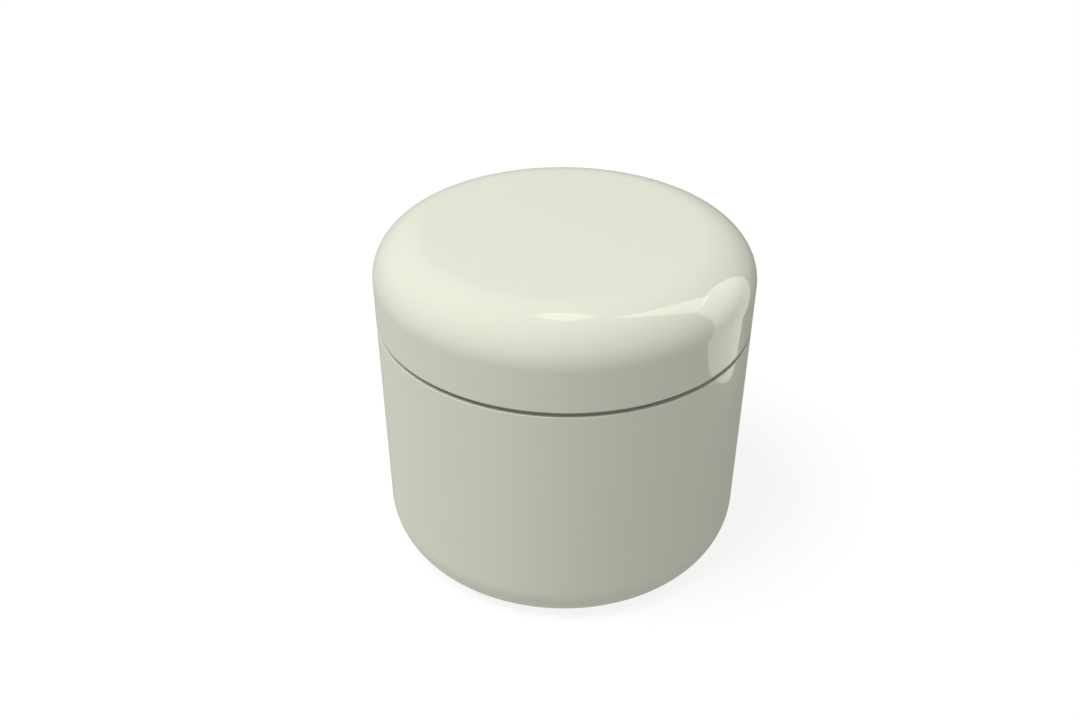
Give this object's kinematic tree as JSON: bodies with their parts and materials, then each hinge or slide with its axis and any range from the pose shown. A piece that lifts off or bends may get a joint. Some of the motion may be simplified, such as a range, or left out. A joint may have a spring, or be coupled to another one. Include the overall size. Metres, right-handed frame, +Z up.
{
  "type": "cosmetic cream jar",
  "caption": "Round double-walled cream jar with a pillow-topped screw cap, a plug seal with a folding grip tab, and a fill of cream.",
  "frame": {"origin": "centre of the foot, on the surface that the jar stands on", "axes": "+Z up along the jar's axis, and the grip tab points to -Y, the front"},
  "size_m": [0.062, 0.062, 0.0564],
  "materials": {
    "glossy_shell": "glossy ivory white moulded plastic",
    "satin_cup": "satin white polypropylene",
    "cream": "soft white cream with a wet sheen",
    "milky_seal": "satin milky translucent polyethylene",
    "foam_gasket": "white closed-cell foam"
  },
  "bodies": {
    "jar": {"jar_shell": "glossy_shell", "inner_cup": "satin_cup", "cream_fill": "cream"},
    "gasket": {"cap_gasket": "foam_gasket"},
    "cap": {"cap_insert": "satin_cup", "cap_shell": "glossy_shell"},
    "disc": {"sealing_disc": "milky_seal"},
    "tab": {"disc_tab": "milky_seal"}
  },
  "joints": [
    {"name": "cap_rise", "type": "slide", "parent": "jar", "child": "gasket", "axis": [0, 0, 1], "range_m": [0, 0.0406]},
    {"name": "cap_turn", "type": "hinge", "parent": "gasket", "child": "cap", "pos_m": [0, 0, 0.0522], "axis": [0, 0, 1], "range_deg": [0, 1080]},
    {"name": "disc_lift", "type": "slide", "parent": "jar", "child": "disc", "axis": [0, 0, 1], "range_m": [0, 0.0163]},
    {"name": "tab_fold", "type": "hinge", "parent": "disc", "child": "tab", "pos_m": [0, 0.0041, 0.0447], "axis": [-1, 0, 0], "range_deg": [0, 90]}
  ],
  "couplings": [
    {"joint": "cap_rise", "follows": "cap_turn", "m_per_rad": 0.0021486},
    {"joint": "disc_lift", "follows": "cap_turn", "m_per_rad": 0.00085944}
  ]
}
